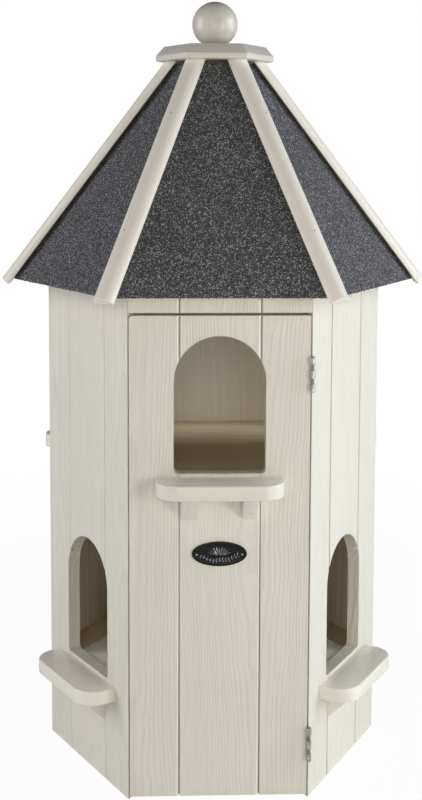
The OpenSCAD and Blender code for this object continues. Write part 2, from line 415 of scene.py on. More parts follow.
def roof_underside_z(rho):
    """Height of the roof boards' underside at a distance out from the axis."""
    top_of_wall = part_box("back_wall")[1].z
    return top_of_wall - (rho - (APOTHEM - WALL_T)) * math.tan(ROOF_SLOPE)


def build_walls():
    for i in range(1, 6):
        node = FACES[i] + "_wall"
        piece = Piece(node + "_boards")
        add_boards(piece, i, (SIDE / 2, SIDE / 2), 0, roof_underside_z(APOTHEM), "roof", 100 + i,
                   sill_z(i))
        piece.finish(WALL_FINISH, "house", "paint", node, BOARD_SHARP)


def build_header():
    piece = Piece("front_header_boards")
    add_boards(piece, 0, (SIDE / 2, SIDE / 2), HEADER_Z, roof_underside_z(APOTHEM), "roof", 200)
    piece.finish(FRONT_FINISH, "house", "paint", "front_header", BOARD_SHARP)


def build_door():
    piece = Piece("door_boards")
    halves = (door_hi.x + DOOR_FREE_EDGE, door_hi.x + DOOR_HINGE_EDGE)
    add_boards(piece, 0, halves, door_lo.z, door_hi.z, "plain", 300, sill_z(0), DOOR_CORNER_R)
    piece.finish(FRONT_FINISH, "door", "paint", "door_panel", BOARD_SHARP)


# ---------------- perches and brackets


def add_metal(piece, rings, place, mat=0):
    """A stack of rings that has no grain, all in one material."""
    piece.add_rings(rings, place, lambda p: p, 0.0, lambda r, k: mat, (mat, mat))


def edge_levels(thick, edge_r, *between):
    """Depths that follow an edge's rounding, by shares of its radius, down both sides of a board."""
    shares = (0, *between, 1)
    return [k * edge_r for k in shares] + [thick - k * edge_r for k in reversed(shares)]


def rounded_ring(outline, depth, thick, edge_r, fixed):
    """The outline at a depth, set back for its rounded edges, except the fixed ones."""
    inset = rounding(depth, edge_r) + rounding(thick - depth, edge_r)
    return offset_outline(outline, [0 if k in fixed else inset for k in range(len(outline))])


def perch_outline(width, depth):
    """Outline in (x, y), anticlockwise, with y negative outwards from the wall."""
    half = width / 2
    r = PERCH_CORNER_R
    left = arc(-half + r, -depth + r, r, 180, 270, 12)
    right = arc(half - r, -depth + r, r, 270, 360, 12)
    return [(-half, 0), *left, *right, (half, 0)]


def build_perches():
    front_lo, front_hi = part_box("door_perch")
    width = front_hi.x - front_lo.x
    depth = front_hi.y - front_lo.y
    thick = front_hi.z - front_lo.z
    outline = perch_outline(width, depth)
    against_wall = (len(outline) - 1,)
    for i in range(6):
        node = under_entrance(i, "perch")
        rng = random.Random(400 + i)
        top_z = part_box(node)[1].z
        rings = []
        for d in edge_levels(thick, PERCH_EDGE_R, 0.13, 0.5):
            ring = rounded_ring(outline, d, thick, PERCH_EDGE_R, against_wall)
            rings.append([Vector((p.x, p.y, top_z - d)) for p in ring])
        piece = Piece(node + "_shelf")
        piece.add_rings(rings, face_matrix(i), wood_grain(rng, "x"), rng.uniform(-1, 1))
        # The wall perches' paler paint is painted light
        piece.finish([LIT_SHELF if i else SMOOTH], body_of_face(i), "paint", node)


def build_brackets():
    front_lo, front_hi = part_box("door_brackets")
    leg = front_hi.z - front_lo.z
    pitch = front_hi.x - front_lo.x - BRACKET_T
    outline = [(0, -leg), (0, 0), (-leg, 0)]
    against_others = (0, 1)
    nail_up = 10 * MM
    for i in range(6):
        node = under_entrance(i, "brackets")
        rng = random.Random(500 + i)
        top_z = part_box(node)[1].z
        piece = Piece(node + "_pair")
        for side in (-1, 1):
            rings = []
            for d in edge_levels(BRACKET_T, BRACKET_EDGE_R, 0.3):
                ring = rounded_ring(outline, d, BRACKET_T, BRACKET_EDGE_R, against_others)
                x = side * pitch / 2 - BRACKET_T / 2 + d
                rings.append([Vector((x, p.x, top_z + p.y)) for p in ring])
            piece.add_rings(rings, face_matrix(i), wood_grain(rng, "z"), rng.uniform(-1, 1))
            if side < 0:
                continue
            # A nail through one slope, near its lower end; the other's is painted over
            x = side * pitch / 2 + rng.uniform(-1, 1) * MM
            head = Vector((x, -nail_up, top_z - leg + nail_up))
            add_nail(piece, face_matrix(i), head, Vector((0, -1, -1)).normalized(), BRACKET_NAIL_R)
        piece.finish([SMOOTH, NAIL], body_of_face(i), "paint", node)


def add_nail(piece, place, head, out, radius):
    """A small domed nail head set just proud of a face, in the piece's second material."""
    side = out.orthogonal().normalized()
    other = out.cross(side)
    rings = []
    for r, h in ((1.0, -0.8), (1.0, 0.02), (0.75, 0.16), (0.35, 0.22)):
        rings.append([head + (side * math.cos(t) + other * math.sin(t)) * r * radius + out * h * MM
                      for t in turns(10)])
    add_metal(piece, rings, place, 1)


# ---------------- roof


def roof_matrix(i):
    """Places local x across roof face i, y out from the felt's top, z down the slope from the apex."""
    down = Vector((0, -math.cos(ROOF_SLOPE), -math.sin(ROOF_SLOPE)))
    out = Vector((0, -math.sin(ROOF_SLOPE), math.cos(ROOF_SLOPE)))
    basis = axes_matrix(Vector((1, 0, 0)), out, down, (0, 0, APEX_Z))
    return Matrix.Rotation(math.radians(60 * i), 4, "Z") @ basis


def close_sheet(points, rows, cols, y):
    """Adds a flat back at y to a grid of points, and gives the faces of the closed sheet."""
    across = cols + 1
    grid = len(points)
    border = list(range(cols))
    border += [r * across + cols for r in range(rows)]
    border += [rows * across + c for c in range(cols, 0, -1)]
    border += [r * across for r in range(rows, 0, -1)]
    points += [Vector((points[b].x, y, points[b].z)) for b in border]
    faces = []
    for r in range(rows):
        for c in range(cols):
            a = r * across + c
            faces.append([a, a + 1, a + across + 1, a + across])
    n = len(border)
    for k in range(n):
        k2 = (k + 1) % n
        faces.append([border[k], border[k2], grid + k2, grid + k])
    return faces + [[grid + k for k in range(n)]]


def add_felt(piece, i, rng):
    """A sheet with a gritty, slightly wavy top and a torn lower edge, as one closed solid."""
    rows, cols = 120, 96
    seed = Vector((rng.uniform(0, 50), rng.uniform(0, 50), rng.uniform(0, 50)))
    half_per_run = math.cos(ROOF_SLOPE) * TAN30
    grit = 0.22 * MM
    wave = 0.5 * MM
    tear = 1.1 * MM
    sunk = 0.05 * MM
    # Waves per millimetre of the relief, from fine to broad
    grain, fray, nick, sway = 1.3, 0.9, 0.22, 0.02
    points = []
    for r in range(rows + 1):
        share = r / rows
        run = FELT_TOP_RUN + (FELT_RUN - FELT_TOP_RUN) * share
        for c in range(cols + 1):
            x = (2 * c / cols - 1) * run * half_per_run
            spot = Vector((x, run, 0)) * 1000 + seed
            edge = share ** 24
            torn = noise.noise(spot * nick) * 0.7 + noise.noise(spot * fray) * 0.5
            lift = grit * noise.noise(spot * grain) + wave * (noise.noise(spot * sway) - 0.5)
            at_run = run - tear * edge * abs(torn)
            points.append(Vector((x * at_run / run, min(lift, 0) - sunk, at_run)))
    faces = close_sheet(points, rows, cols, -FELT_T)
    piece.add(points, faces, [0] * len(faces), roof_matrix(i), lambda p: p + seed, 0.0)


def add_tufts(piece, i, rng, count):
    """Loose fibres that hang from the felt's cut edge."""
    half = FELT_RUN * math.cos(ROOF_SLOPE) * TAN30
    for _ in range(count):
        x = rng.uniform(-0.85, 0.85) * half
        length = rng.uniform(1.5, 4.5) * MM
        lean = rng.uniform(-0.7, 0.7)
        radius = rng.uniform(0.25, 0.5) * MM
        rings = []
        for share, size in ((0, 1.0), (0.5, 0.75), (1, 0.2)):
            centre = Vector((x + lean * length * share * share, -FELT_T * 0.6 - length * 0.3 * share,
                             FELT_RUN - 1.2 * MM + length * share))
            rings.append([centre + p for p in round_ring(radius * size, 0, 5)])
        add_metal(piece, rings, roof_matrix(i))


def build_felt():
    for i in range(6):
        node = FACES[i] + "_felt"
        rng = random.Random(600 + i)
        piece = Piece(node + "_sheet")
        add_felt(piece, i, rng)
        add_tufts(piece, i, rng, 9)
        piece.finish([FELT], "house", "roofing_felt", node)


def batten_section():
    """Half-round section in (across, out), with small flats where it meets the underside."""
    round_r = (BATTEN_W ** 2 / 4 + BATTEN_CROWN ** 2) / (2 * BATTEN_CROWN)
    start = math.degrees(math.asin((round_r - BATTEN_CROWN) / round_r))
    section = arc(0, BATTEN_CROWN - round_r, round_r, start + 4, 176 - start, 22)
    edge = 0.5 * MM
    section.append((-BATTEN_W / 2 + edge, 0))
    section.append((BATTEN_W / 2 - edge, 0))
    return section


def batten_matrix(i):
    """Places local x across hip i, y out from the roof, z down the hip from the apex."""
    out = Vector((math.sin(HIP_SLOPE), 0, math.cos(HIP_SLOPE)))
    down = Vector((math.cos(HIP_SLOPE), 0, -math.sin(HIP_SLOPE)))
    basis = axes_matrix(Vector((0, 1, 0)), out, down, (0, 0, APEX_Z))
    return Matrix.Rotation(math.radians(60 * i - 60), 4, "Z") @ basis


def batten_rings(section, end_run, rng):
    """The section from the cap down to the eave, a little out of true, with an eased lower end."""
    steps = 30
    warp, ease = 0.35 * MM, 0.6 * MM
    centre_y = BATTEN_CROWN * 0.4
    wobble = Vector((rng.uniform(0, 50), 0, 0))
    rings = []
    for s in range(steps + 1):
        share = s / steps
        ring = []
        for x, y in section:
            top_run = (APEX_Z - cap_lo.z + y * math.cos(HIP_SLOPE)) / math.sin(HIP_SLOPE)
            run = top_run + (end_run - top_run) * share
            drift = noise.noise(wobble + Vector((0, share * 5, 0))) * warp
            ring.append(Vector((x + drift * share, y, run)))
        rings.append(ring)
    eased = [Vector((p.x * 0.955, centre_y + (p.y - centre_y) * 0.93, p.z)) for p in rings[-1]]
    rings[-1] = [Vector((p.x, p.y, p.z - ease)) for p in rings[-1]]
    return rings + [eased]


def build_battens():
    section = batten_section()
    end_run = EAVE_R / math.cos(HIP_SLOPE) + BATTEN_OVERHANG
    for i in range(6):
        node = HIPS[i] + "_batten"
        rng = random.Random(700 + i)
        place = batten_matrix(i)
        rings = batten_rings(section, end_run, rng)
        piece = Piece(node + "_moulding")
        piece.add_rings(rings, place, wood_grain(rng, "z"), rng.uniform(-1, 1))
        for share in BATTEN_NAILS:
            head = Vector((rng.uniform(-1.5, 1.5) * MM, BATTEN_CROWN, end_run * share))
            add_nail(piece, place, head, Vector((0, 1, 0)), BATTEN_NAIL_R)
        piece.finish([BATTEN_PAINT, NAIL], "house", "paint", node)


def hexagon(apothem, corner_r):
    """Hexagon with flats facing -Y and +Y, its corners rounded."""
    centre = (apothem - corner_r) / COS30
    points = []
    for k in range(6):
        turn = 60 * k
        cx, cy = centre * math.cos(math.radians(turn)), centre * math.sin(math.radians(turn))
        points += arc(cx, cy, corner_r, turn - 30, turn + 30, 4)
    return points


def build_cap():
    """The cap: a plate with eased lower edges and a sloped top edge."""
    flat = (cap_hi.y - cap_lo.y) / 2
    edge_h, bevel_run = 7.5 * MM, 11 * MM * COS30
    low_r, soft = 2.6 * MM, 1.0 * MM
    corner_r = 3.0 * MM
    top = cap_hi.z
    steps = [(low_r, 0), (low_r * 0.5, 0.13 * low_r), (low_r * 0.13, 0.5 * low_r), (0, low_r),
             (0, edge_h - soft), (0.25 * soft, edge_h - 0.2 * soft), (0.8 * soft, edge_h + 0.5 * soft),
             (bevel_run - soft, top - cap_lo.z - 0.9 * soft),
             (bevel_run - 0.2 * soft, top - cap_lo.z - 0.2 * soft), (bevel_run + soft, top - cap_lo.z)]
    rings = []
    for inset, up in steps:
        rings.append([Vector((x, y, cap_lo.z + up)) for x, y in hexagon(flat - inset, corner_r)])
    piece = Piece("roof_cap_plate")
    piece.add_rings(rings, Matrix.Identity(4), wood_grain(random.Random(800), "x"), 0.0)
    piece.finish([CAP_PAINT], "house", "paint", "roof_cap", sharp=24)


def build_ball():
    """Turned ball on a short foot that sits on the cap."""
    radius = (ball_hi.x - ball_lo.x) / 2
    centre_z = ball_hi.z - radius
    foot_r = 11 * MM
    around, up = 72, 44
    start = math.degrees(math.asin(foot_r / radius)) - 180
    profile = [(foot_r * 0.96, cap_hi.z), (foot_r, cap_hi.z + 0.4 * MM)]
    for k in range(up):
        turn = math.radians(start - start * k / up)
        profile.append((radius * math.sin(-turn), centre_z + radius * math.cos(turn)))
    rings = [round_ring(r, z, around) for r, z in profile]
    piece = Piece("ball_finial_turned")
    piece.add_rings(rings, Matrix.Identity(4), wood_grain(random.Random(810), "z"), 0.0)
    piece.finish([TURNED], "house", "paint", "ball_finial")


# ---------------- hinges and plaque


def pin_matrix(z):
    """Origin on the hinge pin, x into the joint, y towards the front-right wall."""
    inward = Vector((-0.5, COS30, 0))
    across = Vector((COS30, 0.5, 0))
    return axes_matrix(inward, across, Vector((0, 0, 1)), (PIN.x, PIN.y, z))


def add_barrel(piece, place, z0, z1, radius, mat=0):
    """A rolled knuckle or a pin, with eased ends."""
    ease = 0.35 * MM
    profile = ((radius - ease, z0), (radius, z0 + ease), (radius, z1 - ease), (radius - ease, z1))
    add_metal(piece, [round_ring(r, z, 24) for r, z in profile], place, mat)


def add_plate(piece, place, x0, x1, y0, y1, z0, z1):
    """A thin plate with eased corners in x and z."""
    ease = 0.2 * MM
    outline = [(x0, z0), (x1, z0), (x1, z1), (x0, z1)]
    rings = []
    for inset, y in ((ease, y0), (0, y0 + ease), (0, y1 - ease), (ease, y1)):
        rings.append([Vector((p.x, y, p.y)) for p in offset_outline(outline, [inset] * 4)])
    add_metal(piece, rings, place)


def build_hinges():
    gap = 1.25 * MM
    knuckle = 9.5 * MM
    pin_r = 1.7 * MM
    pin_end = 0.6 * MM
    half = HINGE_H / 2
    leaf_from = KNUCKLE_R + 0.5 * MM
    neck_from = 1 * MM
    frame_leaf_y = (gap - LEAF_T, gap)
    door_leaf_y = (-gap, LEAF_T - gap)
    frame_piece = Piece("hinge_frame_leaves_steel")
    door_piece = Piece("hinge_door_leaves_steel")
    for z in (leaves_lo.z + half, leaves_hi.z - half):
        place = pin_matrix(z)
        add_plate(frame_piece, place, leaf_from, LEAF_W, *frame_leaf_y, -half, half)
        add_plate(door_piece, place, leaf_from, LEAF_W, *door_leaf_y, -half, half)
        for side in (-1, 1):
            z0, z1 = sorted((side * half, side * (half - knuckle)))
            add_barrel(frame_piece, place, z0, z1, KNUCKLE_R)
            add_plate(frame_piece, place, neck_from, LEAF_W / 2, *frame_leaf_y, z0, z1)
        # The pin shows between the knuckles and stands out a little at both ends
        add_barrel(frame_piece, place, -half - pin_end, half + pin_end, pin_r, 1)
        add_barrel(door_piece, place, -knuckle / 2, knuckle / 2, KNUCKLE_R)
        add_plate(door_piece, place, neck_from, LEAF_W / 2, *door_leaf_y, -knuckle / 2, knuckle / 2)
    frame_piece.finish([STEEL, PIN_STEEL], "house", "hinge_steel", "hinge_frame_leaves")
    door_piece.finish([STEEL], "door", "hinge_steel", "hinge_door_leaves")


def add_leaf(piece, place, x, z, turn, length, width, height, base):
    """A small embossed leaf: a pointed oval with a ridge."""
    steps = 7
    rings = []
    for k in range(steps + 1):
        share = k / steps
        half = width / 2 * math.sin(math.pi * (0.06 + 0.9 * share)) ** 0.8
        ring = []
        for side, up in ((-1, 0), (-0.5, 0.7), (0, 1), (0.5, 0.7), (1, 0), (0, -0.3)):
            along, across = length * share, side * half
            px = x + along * math.cos(turn) - across * math.sin(turn)
            pz = z + along * math.sin(turn) + across * math.cos(turn)
            crest = height * (0.4 + 0.6 * math.sin(math.pi * share))
            ring.append(Vector((px, base - up * crest, pz)))
        rings.append(ring)
    add_metal(piece, rings, place, 1)


def garland_z(share):
    """Height of the garland's stem along its run."""
    return (-7.6 + 5.2 * (2 * share - 1) ** 2 + 0.7 * math.sin(share * 15)) * MM


def add_fan(piece, place, field):
    """Nine leaves that spread from one point."""
    width, height, root_z = 2.1 * MM, 0.9 * MM, -1.6 * MM
    for k in range(9):
        turn = math.radians(18 + 144 * k / 8)
        length = (9.4 + 2.4 * abs(math.cos(turn))) * MM
        x = 2.2 * math.cos(turn) * MM
        add_leaf(piece, place, x, root_z, turn, length, width, height, field)


def add_garland(piece, place, field):
    """A long stem with small leaves on both sides."""
    length, width, height = 3.4 * MM, 1.5 * MM, 0.8 * MM
    for k in range(13):
        share = k / 12
        x = (-22 + 43 * share) * MM
        for side in (-1, 1):
            turn = side * math.radians(58) + (2 * share - 1) * 0.5
            add_leaf(piece, place, x, garland_z(share), turn, length, width, height, field)
    stem_r = 0.4 * MM
    stem = []
    for k in range(17):
        share = k / 16
        centre = Vector(((-23 + 45 * share) * MM, field, garland_z(share)))
        stem.append([centre + Vector((0, math.cos(t), math.sin(t))) * stem_r for t in turns(6)])
    add_metal(piece, stem, place, 1)


def build_plaque():
    """Oval plaque with a raised rim, leaves in low relief and two pins."""
    half_w = (plaque_hi.x - plaque_lo.x) / 2
    half_h = (plaque_hi.z - plaque_lo.z) / 2
    thick = plaque_hi.y - plaque_lo.y
    middle = (plaque_lo + plaque_hi) / 2
    place = face_matrix(0) @ Matrix.Translation((middle.x, 0, middle.z))
    piece = Piece("door_plaque_oval")
    # Insets in mm and shares of the thickness: the back, the rim, and a field that rises a little
    steps = [(0, 0), (0, 0.7), (0.3, 0.93), (0.8, 1.0), (1.1, 0.97), (1.9, 0.62), (2.4, 0.56),
             (6, 0.62), (10, 0.66), (13, 0.67)]
    rings = []
    for inset, up in steps:
        a, b = half_w - inset * MM, half_h - inset * MM
        rings.append([Vector((a * math.cos(t), -up * thick, b * math.sin(t))) for t in turns(72)])
    add_metal(piece, rings, place)
    field = -0.62 * thick
    add_fan(piece, place, field)
    add_garland(piece, place, field)
    pin_r, pin_inset, pin_drop = 1.3 * MM, 5.5 * MM, 0.8 * MM
    for side in (-1, 1):
        pin = Vector((side * (half_w - pin_inset), field - 0.2 * MM, -pin_drop))
        add_nail(piece, place, pin, Vector((0, -1, 0)), pin_r)
    piece.finish([ENAMEL, PEWTER], "door", "plaque", "door_plaque")


# ---------------- materials


class Nodes:
    """Short names for making shader nodes."""

    def __init__(self, name):
        self.material = bpy.data.materials.new(name)
        self.material.use_nodes = True
        self.tree = self.material.node_tree
        self.shader = self.tree.nodes["Principled BSDF"]

    def new(self, kind, **settings):
        node = self.tree.nodes.new(kind)
        for key, value in settings.items():
            setattr(node, key, value)
        return node

    def link(self, source, target):
        self.tree.links.new(source, target)

    def put(self, socket, value):
        """Sets a socket to a number, a colour or another node's output."""
        if isinstance(value, bpy.types.NodeSocket):
            self.link(value, socket)
        else:
            socket.default_value = value

    def make(self, kind, output, inputs, **settings):
        """One output of a new node, whose inputs are numbers, colours or other outputs."""
        node = self.new(kind, **settings)
        for key, value in inputs.items():
            self.put(node.inputs[key], value)
        return node.outputs[output]

    def attribute(self, name, output):
        return self.make("ShaderNodeAttribute", output, {}, attribute_name=name)

    def spot(self):
        """The place on the object, in metres."""
        return self.make("ShaderNodeTexCoord", "Object", {})

    def height_of(self, vector):
        return self.make("ShaderNodeSeparateXYZ", "Z", {0: vector})

    def math(self, operation, a, b=0.0):
        return self.make("ShaderNodeMath", 0, {0: a, 1: b}, operation=operation)

    def total(self, *terms, clamp=False):
        """The sum of (value, weight) pairs."""
        total = 0.0
        for k, (value, weight) in enumerate(terms, 1):
            total = self.make("ShaderNodeMath", 0, {0: value, 1: weight, 2: total},
                              operation="MULTIPLY_ADD", use_clamp=clamp and k == len(terms))
        return total

    def vector(self, operation, a, b=(0, 0, 0)):
        output = "Value" if operation in ("LENGTH", "DOT_PRODUCT") else "Vector"
        return self.make("ShaderNodeVectorMath", output, {0: a, 1: b}, operation=operation)

    def noise(self, vector, scale, detail=2.0, rough=0.5, output="Fac"):
        inputs = {"Vector": vector, "Scale": scale, "Detail": detail, "Roughness": rough}
        return self.make("ShaderNodeTexNoise", output, inputs)

    def streaks(self, vector, stretch, rough):
        """Noise with its own scale along each axis."""
        return self.noise(self.vector("MULTIPLY", vector, stretch), 1.0, 2.0, rough)

    def wander(self, vector, stretch, reach):
        """An offset that wanders as far as reach along each axis."""
        loose = self.noise(self.vector("MULTIPLY", vector, stretch), 1.0, output="Color")
        return self.vector("MULTIPLY", self.vector("SUBTRACT", loose, (0.5, 0.5, 0.5)), reach)

    def cells(self, vector, scale, output):
        return self.make("ShaderNodeTexVoronoi", output, {"Vector": vector, "Scale": scale})

    def ramp(self, value, low, high, to_low=0.0, to_high=1.0, kind="SMOOTHSTEP"):
        inputs = {"Value": value, "From Min": low, "From Max": high, "To Min": to_low, "To Max": to_high}
        return self.make("ShaderNodeMapRange", "Result", inputs, interpolation_type=kind)

    def mix(self, share, a, b):
        return self.make("ShaderNodeMix", 2, {0: share, 6: a, 7: b}, data_type="RGBA")

    def bump(self, height, distance, strength):
        inputs = {"Height": height, "Distance": distance, "Strength": strength}
        return self.make("ShaderNodeBump", "Normal", inputs)

    def finish(self, color, roughness, normal=None, metallic=0.0, specular=0.5):
        inputs = {"Base Color": color, "Roughness": roughness, "Metallic": metallic,
                  "Specular IOR Level": specular}
        for key, value in inputs.items():
            self.put(self.shader.inputs[key], value)
        if normal is not None:
            self.link(normal, self.shader.inputs["Normal"])
        return self.material


def rgb(r, g, b):
    """A linear colour."""
    return (r, g, b, 1.0)


RING_PITCH = 2.8 * MM
GRANULE = 1.0 * MM
CLUMP = 1.5 * MM
# Stretch of the fine fibres in a piece's own grain, along z
FIBRE = (1000, 1000, 22)


def painted_pine(name, light, dark, show=1.0, relief=1.0, gloss=0.48, sawn=0.0):
    """Thin satin paint over pine: growth rings and fibres show through it, and stand up a little.

    show and relief scale the grain's contrast and height, gloss is the roughness, and sawn adds
    the height of saw marks.
    """
    n = Nodes(name)
    grain = n.attribute("grain", "Vector")
    # Growth rings: cylinders about a pith that wanders along the board
    sweep = n.wander(grain, (7, 7, 2.2), (0.022, 0.022, 0))
    ripple = n.wander(grain, (30, 30, 26), (0.0035, 0.0035, 0))
    bent = n.vector("ADD", grain, n.vector("ADD", sweep, ripple))
    from_pith = n.vector("LENGTH", n.vector("MULTIPLY", bent, (1, 1, 0)))
    ring = n.math("FRACT", n.math("MULTIPLY", from_pith, 1 / RING_PITCH))
    late = n.math("MULTIPLY", n.ramp(ring, 0.30, 0.80), n.ramp(ring, 1.0, 0.88))
    fibre = n.streaks(bent, FIBRE, 0.6)
    streak = n.streaks(bent, (420, 420, 5), 0.55)
    patch = n.noise(grain, 11.0, 3.0, 0.6)
    share = n.total((late, 0.36 * show), (n.ramp(streak, 0.36, 0.66), 0.42 * show),
                    (n.ramp(fibre, 0.38, 0.70), 0.24 * show), (n.ramp(patch, 0.35, 0.75), 0.16 * show),
                    (n.attribute("tone", "Fac"), 0.10), clamp=True)
    height = [(late, -0.7), (streak, 0.9), (fibre, 0.35)]
    if sawn:
        height.append((n.streaks(grain, (500, 60, 700), 0.5), sawn))
    normal = n.bump(n.total(*height), 0.20 * MM * relief, 0.9)
    roughness = n.ramp(fibre, 0.2, 0.8, gloss - 0.06, gloss + 0.08)
    return n.finish(n.mix(share, light, dark), roughness, normal, specular=0.45)


def turned_paint(name, light, dark):
    """Sprayed paint on turned wood: smooth, with faint turning rings."""
    n = Nodes(name)
    spot = n.spot()
    lathe = n.math("SINE", n.math("MULTIPLY", n.height_of(spot), 3400))
    peel = n.noise(spot, 700.0)
    cloud = n.noise(spot, 60.0, 3.0)
    normal = n.bump(n.total((lathe, 0.12), (peel, 1.0)), 0.05 * MM, 0.7)
    color = n.mix(n.ramp(cloud, 0.3, 0.75), light, dark)
    return n.finish(color, n.ramp(peel, 0.2, 0.8, 0.28, 0.36), normal)


def granulated_felt(name):
    """Bitumen felt covered with slate granules: dark cells in loose clumps, a few of them pale."""
    n = Nodes(name)
    spot = n.attribute("grain", "Vector")
    granules = n.new("ShaderNodeSeparateColor")
    n.link(n.cells(spot, 1 / GRANULE, "Color"), granules.inputs[0])
    luck, shade, lift = granules.outputs
    domes = n.cells(spot, 1 / GRANULE, "Distance")
    clump = n.noise(spot, 1 / CLUMP, 2.0, 0.6)
    cloud = n.noise(spot, 22.0, 3.0, 0.6)
    tint = n.total((n.ramp(clump, 0.38, 0.66), 0.5), (shade, 0.5), clamp=True)
    color = n.mix(tint, rgb(0.005, 0.0047, 0.006), rgb(0.150, 0.148, 0.160))
    pale = n.math("MULTIPLY", n.ramp(luck, 0.78, 0.95), n.ramp(clump, 0.35, 0.6, 0.45, 1.0))
    color = n.mix(pale, color, rgb(0.66, 0.66, 0.68))
    color = n.mix(n.ramp(cloud, 0.35, 0.7, 0.0, 0.12), color, rgb(0.02, 0.02, 0.024))
    normal = n.bump(n.total((domes, -1.0), (lift, 0.8), (clump, 1.6)), 0.8 * MM, 1.0)
    return n.finish(color, n.ramp(lift, 0.0, 1.0, 0.40, 0.95, "LINEAR"), normal)


def plated_steel(name):
    """Zinc-plated steel with dull patches and specks of rust."""
    n = Nodes(name)
    spot = n.spot()
    dull = n.noise(spot, 350.0, 3.0, 0.6)
    rust = n.ramp(n.noise(spot, 240.0, 4.0, 0.7), 0.60, 0.68, 0.0, 0.7)
    color = n.mix(n.ramp(dull, 0.3, 0.7), rgb(0.62, 0.61, 0.61), rgb(0.38, 0.37, 0.36))
    color = n.mix(rust, color, rgb(0.16, 0.07, 0.035))
    normal = n.bump(dull, 0.08 * MM, 0.6)
    return n.finish(color, n.ramp(dull, 0.2, 0.8, 0.26, 0.5), normal, metallic=0.9)


def dark_metal(name, light, dark, smoothest, roughest, metallic, specular=0.5):
    """Cast metal: cloudy colour, and a fine pitted surface."""
    n = Nodes(name)
    spot = n.spot()
    cloud = n.noise(spot, 500.0, 4.0, 0.65)
    color = n.mix(n.ramp(cloud, 0.35, 0.7), light, dark)
    normal = n.bump(n.noise(spot, 1500.0), 0.06 * MM, 0.8)
    roughness = n.ramp(cloud, 0.3, 0.7, smoothest, roughest)
    return n.finish(color, roughness, normal, metallic, specular)


def bare_share(n, figure, fibre):
    """How dark bare softwood is, from its broad figure and its fibres."""
    return n.total((n.ramp(figure, 0.35, 0.68), 0.6), (n.ramp(fibre, 0.35, 0.7), 0.4))


def bare_relief(n, figure, fibre):
    """The same figure and fibres as a slight relief."""
    return n.bump(n.total((figure, 1.0), (fibre, 0.4)), 0.15 * MM, 0.8)


def raw_board(name, light, dark, turn, spray_and_light=None, middle_shade=0.0):
    """Bare softwood on a CAD node, whose grain runs along X turned about Z.

    The mask adds a pale fan behind the arches, partly paint sprayed in and partly painted light, and the
    last argument is how far the middle of a floor is painted darker, as painted shade.
    """
    n = Nodes(name)
    spot = n.spot()
    grain = n.make("ShaderNodeMapping", "Vector", {"Vector": spot, "Rotation": (0, 0, -turn)})
    bent = n.vector("ADD", grain, n.wander(grain, (3, 12, 12), (0, 0.02, 0)))
    figure = n.streaks(bent, (5, 220, 220), 0.55)
    fibre = n.streaks(bent, (25, 900, 900), 0.6)
    color = n.mix(bare_share(n, figure, fibre), light, dark)
    if spray_and_light:
        out = n.vector("LENGTH", n.vector("MULTIPLY", spot, (1, 1, 0)))
        out = n.total((out, 1.0), (n.noise(spot, 30.0, 3.0), 60 * MM))
        # The middle of the floor is painted darker, as painted shade
        color = n.mix(n.ramp(out, 190 * MM, 60 * MM, 0.0, middle_shade), color, dark)
        # A pale fan behind the arches: partly paint sprayed in, partly painted light
        color = n.mix(spray_and_light(n, spot), color, PAINT_LIGHT)
    roughness = n.ramp(fibre, 0.2, 0.8, 0.55, 0.7)
    return n.finish(color, roughness, bare_relief(n, figure, fibre), specular=0.35)


def spray_and_light_fan(faces, reach, spread):
    """A soft pale fan on the floor behind the arches of some faces: partly paint that came in through
    them, partly painted light falling in through them.
    """
    edge = 3 * MM
    at_wall = ARCH_R - spread * WALL_T

    def mask(n, spot):
        ragged = n.math("SUBTRACT", n.noise(spot, 45.0, 3.0), 0.5)
        total = 0.0
        for i in faces:
            turn = face_matrix(i).to_3x3()
            across = n.math("ABSOLUTE", n.vector("DOT_PRODUCT", spot, turn.col[0]))
            inward = n.vector("DOT_PRODUCT", spot, turn.col[1])
            depth = n.math("ADD", n.total((inward, 1.0), (ragged, 30 * MM)), APOTHEM)
            over = n.total((across, 1.0), (depth, -spread))
            fan = n.math("MULTIPLY", n.ramp(over, at_wall + edge, at_wall - edge),
                         n.ramp(depth, reach, reach * 0.6))
            total = n.math("MAXIMUM", total, fan)
        return total

    return mask


def lining(name, shaded_light, shaded_dark, light, dark):
    """Inner faces of the boards: bare pine, darker below the upper floor as painted shade, and paler
    above it as painted light.
    """
    n = Nodes(name)
    grain = n.attribute("grain", "Vector")
    spot = n.spot()
    streak = n.streaks(grain, (300, 300, 5), 0.55)
    fibre = n.streaks(grain, FIBRE, 0.6)
    share = bare_share(n, streak, fibre)
    lit_level = n.total((n.height_of(spot), 1.0), (n.noise(spot, 40.0, 3.0), 50 * MM))
    # Paler above the upper floor, as painted light, and darker below it, as painted shade
    upper = n.ramp(lit_level, UPPER_FLOOR_Z - 55 * MM, UPPER_FLOOR_Z + 15 * MM)
    color = n.mix(upper, n.mix(share, shaded_light, shaded_dark), n.mix(share, light, dark))
    roughness = n.ramp(fibre, 0.2, 0.8, 0.5, 0.65)
    return n.finish(color, roughness, bare_relief(n, streak, fibre), specular=0.4)


PAINT_LIGHT = rgb(0.765, 0.742, 0.66)
PAINT = painted_pine("painted_pine", PAINT_LIGHT, rgb(0.66, 0.63, 0.54), show=0.8, relief=1.5)
REVEAL = painted_pine("painted_sawn_edge", rgb(0.70, 0.66, 0.56), rgb(0.54, 0.49, 0.38),
                      relief=2.0, sawn=0.9)
# The inner faces' lower colours are painted shade and their upper colours painted light
LINING = lining("inner_face", rgb(0.56, 0.50, 0.35), rgb(0.42, 0.35, 0.22),
                rgb(0.94, 0.89, 0.75), rgb(0.86, 0.80, 0.64))
SEAM = painted_pine("bare_seam", rgb(0.50, 0.42, 0.30), rgb(0.36, 0.29, 0.19))
